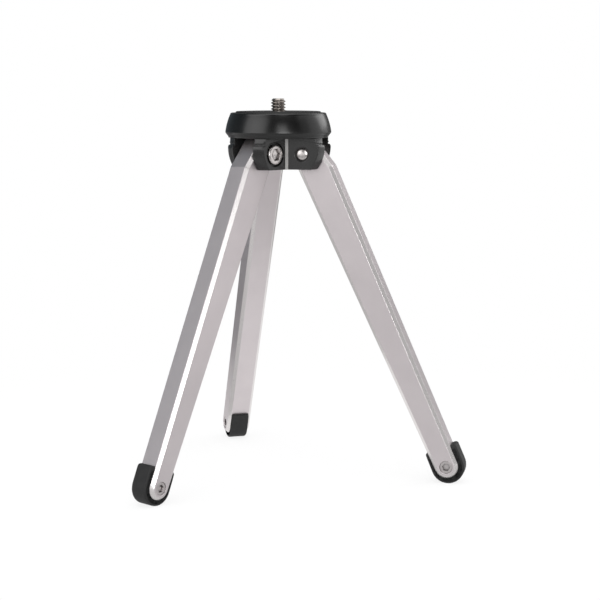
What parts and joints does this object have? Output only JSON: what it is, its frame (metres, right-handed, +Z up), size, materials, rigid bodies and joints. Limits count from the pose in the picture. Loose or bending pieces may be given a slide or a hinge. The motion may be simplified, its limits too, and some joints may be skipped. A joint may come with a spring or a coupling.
{
  "type": "tabletop tripod",
  "caption": "Folding tabletop tripod: a round black head with a camera screw and grip pad on tapered satin aluminium legs with rubber feet.",
  "frame": {"origin": "centre of the camera seat, on the camera screw's axis, at the top of the grip pad", "axes": "+Z up along the camera screw, +Y towards the back leg, +X to the right leg's side"},
  "size_m": [0.1452, 0.1257, 0.1617],
  "materials": {
    "black_anodised": "semi-gloss black anodised, turned and milled",
    "satin_aluminium": "fine bead-blasted and clear anodised, bright bevels",
    "stainless_steel": "plain stainless fastener",
    "black_rubber": "matt moulded rubber",
    "black_nylon": "plain friction washer"
  },
  "bodies": {
    "head": {"hub": "black_anodised", "top_plate": "black_anodised", "grip_pad": "black_rubber", "camera_screw": "stainless_steel", "plate_dowel_left": "stainless_steel", "plate_dowel_front": "stainless_steel", "plate_dowel_right": "stainless_steel", "hinge_screw_back": "stainless_steel", "hinge_screw_left": "stainless_steel", "hinge_screw_right": "stainless_steel"},
    "leg_back": {"leg_bar_back": "satin_aluminium", "foot_pad_back": "black_rubber", "foot_screw_back": "stainless_steel", "foot_nut_back": "stainless_steel", "hinge_washer_back_head": "black_nylon", "hinge_washer_back_tail": "black_nylon"},
    "leg_left": {"leg_bar_left": "satin_aluminium", "foot_pad_left": "black_rubber", "foot_screw_left": "stainless_steel", "foot_nut_left": "stainless_steel", "hinge_washer_left_head": "black_nylon", "hinge_washer_left_tail": "black_nylon"},
    "leg_right": {"leg_bar_right": "satin_aluminium", "foot_pad_right": "black_rubber", "foot_screw_right": "stainless_steel", "foot_nut_right": "stainless_steel", "hinge_washer_right_head": "black_nylon", "hinge_washer_right_tail": "black_nylon"}
  },
  "joints": [
    {"name": "fold_back", "type": "hinge", "parent": "head", "child": "leg_back", "pos_m": [0, 0.0126, -0.0176], "axis": [-1, 0, 0], "range_deg": [0, 25]},
    {"name": "fold_left", "type": "hinge", "parent": "head", "child": "leg_left", "pos_m": [-0.01091, -0.0063, -0.0176], "axis": [0.5, -0.866, 0], "range_deg": [0, 25]},
    {"name": "fold_right", "type": "hinge", "parent": "head", "child": "leg_right", "pos_m": [0.01091, -0.0063, -0.0176], "axis": [0.5, 0.866, 0], "range_deg": [0, 25]}
  ]
}
